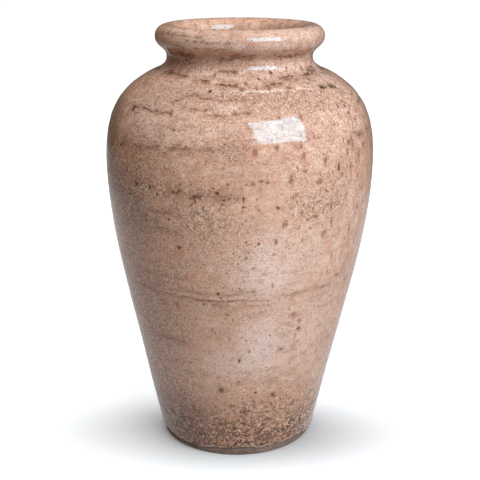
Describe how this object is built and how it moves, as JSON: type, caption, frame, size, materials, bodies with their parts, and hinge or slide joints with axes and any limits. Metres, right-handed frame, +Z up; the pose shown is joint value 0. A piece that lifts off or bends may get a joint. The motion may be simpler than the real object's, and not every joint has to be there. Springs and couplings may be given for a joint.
{
  "type": "vase",
  "caption": "Tall glazed stoneware vase with high round shoulders, a short neck, a thick rolled rim, a straight tapering lower body and a bare recessed foot.",
  "frame": {"origin": "centre of the foot ring, on the surface that the vase stands on", "axes": "+Z up along the axis of revolution, from the foot to the mouth; +X and +Y are equal"},
  "size_m": [0.2194, 0.2194, 0.35],
  "materials": {
    "bare_clay": "unglazed fired stoneware, matt, grey-brown with pink flecks",
    "outer_glaze": "glossy dusty-pink glaze with pale mottling, brown specks, pits and broken dark throwing lines",
    "lining_glaze": "glossy pinkish-brown glaze, thinner and darker than outside"
  },
  "bodies": {
    "root": {"base_disc": "bare_clay", "lower_wall": "bare_clay", "middle_wall": "bare_clay", "belly_wall": "bare_clay", "shoulder_wall": "bare_clay", "upper_shoulder": "bare_clay", "neck_collar": "bare_clay", "rim_roll": "bare_clay", "outer_glaze": "outer_glaze", "lining_glaze": "lining_glaze"}
  },
  "joints": []
}
